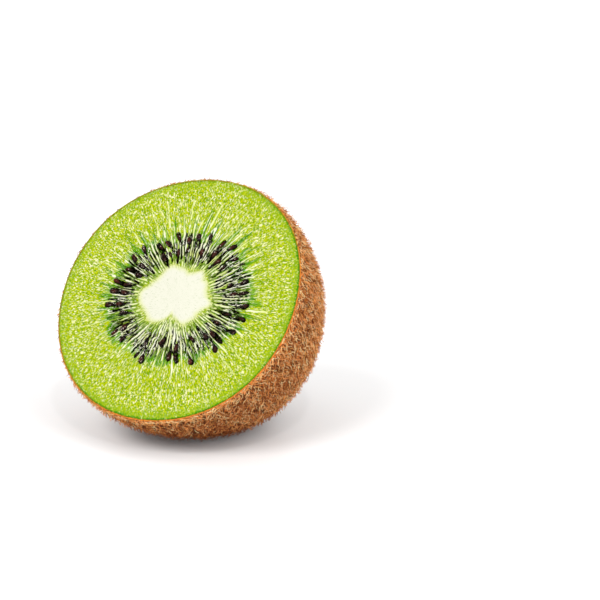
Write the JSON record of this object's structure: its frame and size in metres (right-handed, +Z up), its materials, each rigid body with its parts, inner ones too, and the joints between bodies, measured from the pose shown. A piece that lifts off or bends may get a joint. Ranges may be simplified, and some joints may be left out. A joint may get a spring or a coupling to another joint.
{
  "type": "kiwi fruit half",
  "caption": "Half of a green kiwi fruit cut across, with seeds round a pale core and a fuzzy brown skin, lying on its rounded side with the cut face leaning back.",
  "frame": {"origin": "centre of the bounding box, at the level of the flat spot that the fruit rests on", "axes": "+Z up from the flat spot; the cut face looks up, towards -Y and a little towards -X, and the fruit's axis runs from the cut down to the stem end, away and to +X"},
  "size_m": [0.049, 0.0462, 0.0463],
  "materials": {
    "flesh": "wet, fine-grained lime green flesh with pale flecks",
    "seed_flesh": "wet, darker green flesh with pale rays",
    "core": "creamy white, soft sheen",
    "seed": "black-brown, wet and glossy",
    "skin": "matt brown skin",
    "fuzz": "short golden-brown hairs"
  },
  "bodies": {
    "root": {"flesh": "flesh", "seed_ring": "seed_flesh", "core": "core"}
  },
  "joints": []
}
